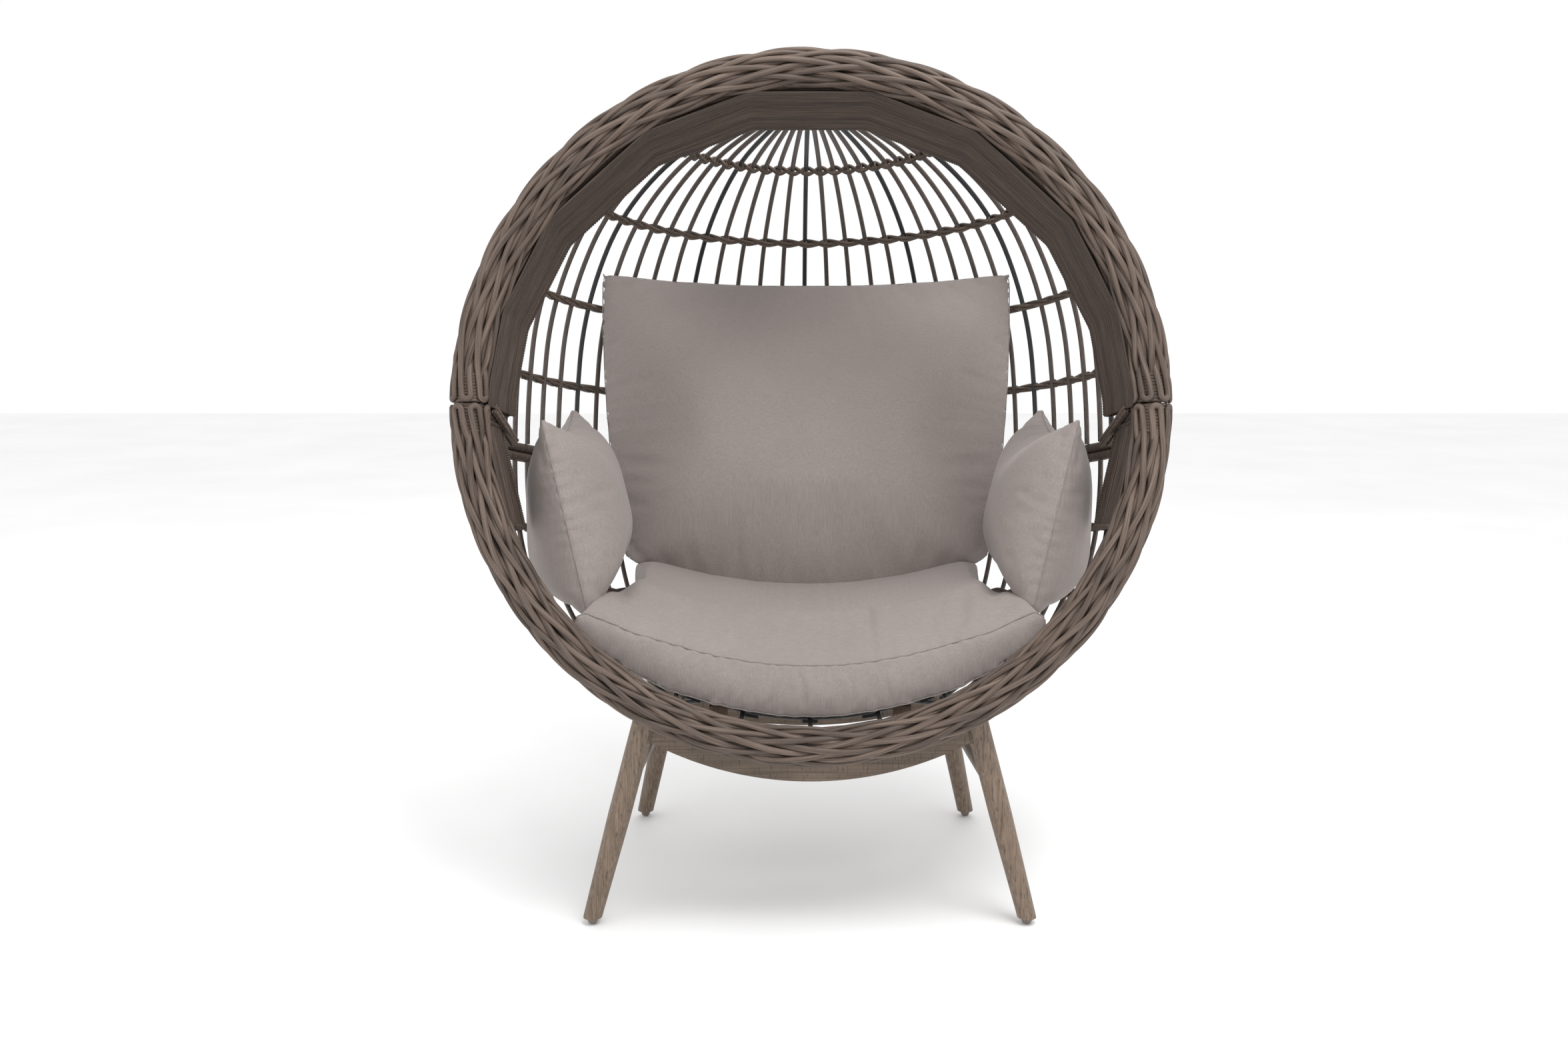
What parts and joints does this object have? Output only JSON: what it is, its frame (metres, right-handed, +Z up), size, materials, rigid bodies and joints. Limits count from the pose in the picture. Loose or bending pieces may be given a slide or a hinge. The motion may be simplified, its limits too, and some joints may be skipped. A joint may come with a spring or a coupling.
{
  "type": "egg chair",
  "caption": "Woven egg chair on four splayed legs: round braided front ring, cage-like two-part basket, seat and back cushions and two side pillows.",
  "frame": {"origin": "on the floor under the middle of the overall box", "axes": "+Z up, +Y to the back of the chair, +X to the right seen from the front"},
  "size_m": [1.16, 0.8873, 1.432],
  "materials": {
    "fabric": "matt woven outdoor fabric",
    "wicker": "resin wicker with fine streaks",
    "wicker_dark": "darker resin wicker stake",
    "black_steel": "powder coated satin",
    "leg_paint": "wood-look paint, satin",
    "plastic": "moulded",
    "glide_plastic": "moulded",
    "zinc": "zinc plated"
  },
  "bodies": {
    "chair": {"apron_front": "leg_paint", "apron_rear": "leg_paint", "bowl_ring": "black_steel", "bracket_bolts": "zinc", "brackets_front": "black_steel", "brackets_rear": "black_steel", "braid_lower": "wicker", "braid_upper": "wicker", "crown_plate": "wicker", "hood_band": "wicker", "hood_edging_left": "wicker", "hood_edging_right": "wicker", "hood_rear_rim": "wicker", "hood_spars": "black_steel", "hoop_lower": "black_steel", "hoop_upper": "black_steel", "leg_caps": "plastic", "leg_front_left": "leg_paint", "leg_front_right": "leg_paint", "leg_plugs": "plastic", "leg_rear_left": "leg_paint", "leg_rear_right": "leg_paint", "rail_lower": "wicker", "rail_upper": "wicker", "ribs_crown": "wicker_dark", "ribs_lower_left": "wicker_dark", "ribs_lower_right": "wicker_dark", "ribs_lower_steel": "black_steel", "ribs_upper_left": "wicker_dark", "ribs_upper_right": "wicker_dark", "ribs_upper_steel": "black_steel", "row_lower_1": "wicker", "row_lower_2": "wicker", "row_lower_3": "wicker", "row_upper_1": "wicker", "row_upper_2": "wicker", "row_upper_3": "wicker", "row_upper_4": "wicker", "seat_front_bar": "black_steel", "seat_rear_bar": "black_steel", "seat_slats": "black_steel", "seat_struts": "black_steel", "shell_bolts": "zinc", "shell_tabs_lower": "black_steel", "shell_tabs_upper": "black_steel", "side_panels": "wicker", "side_rail_left": "leg_paint", "side_rail_right": "leg_paint"},
    "glide_front_left": {"glide_front_left": "glide_plastic"},
    "glide_front_right": {"glide_front_right": "glide_plastic"},
    "glide_rear_left": {"glide_rear_left": "glide_plastic"},
    "glide_rear_right": {"glide_rear_right": "glide_plastic"},
    "seat_cushion": {"seat_cushion": "fabric"},
    "back_cushion": {"back_cushion": "fabric"},
    "pillow_left": {"pillow_left": "fabric"},
    "pillow_right": {"pillow_right": "fabric"}
  },
  "joints": [
    {"name": "level_front_left", "type": "slide", "parent": "chair", "child": "glide_front_left", "axis": [0, 0, -1], "range_m": [0, 0.008]},
    {"name": "level_front_right", "type": "slide", "parent": "chair", "child": "glide_front_right", "axis": [0, 0, -1], "range_m": [0, 0.008]},
    {"name": "level_rear_left", "type": "slide", "parent": "chair", "child": "glide_rear_left", "axis": [0, 0, -1], "range_m": [0, 0.008]},
    {"name": "level_rear_right", "type": "slide", "parent": "chair", "child": "glide_rear_right", "axis": [0, 0, -1], "range_m": [0, 0.008]},
    {"name": "seat_cushion_out", "type": "slide", "parent": "chair", "child": "seat_cushion", "axis": [0, -0.9901, 0.14], "range_m": [0, 0.05]},
    {"name": "back_cushion_out", "type": "slide", "parent": "chair", "child": "back_cushion", "axis": [0, -0.9, 0.436], "range_m": [0, 0.025]},
    {"name": "pillow_left_out", "type": "slide", "parent": "chair", "child": "pillow_left", "axis": [0.6012, -0.4008, 0.6913], "range_m": [0, 0.1]},
    {"name": "pillow_right_out", "type": "slide", "parent": "chair", "child": "pillow_right", "axis": [-0.6012, -0.4008, 0.6913], "range_m": [0, 0.1]}
  ]
}
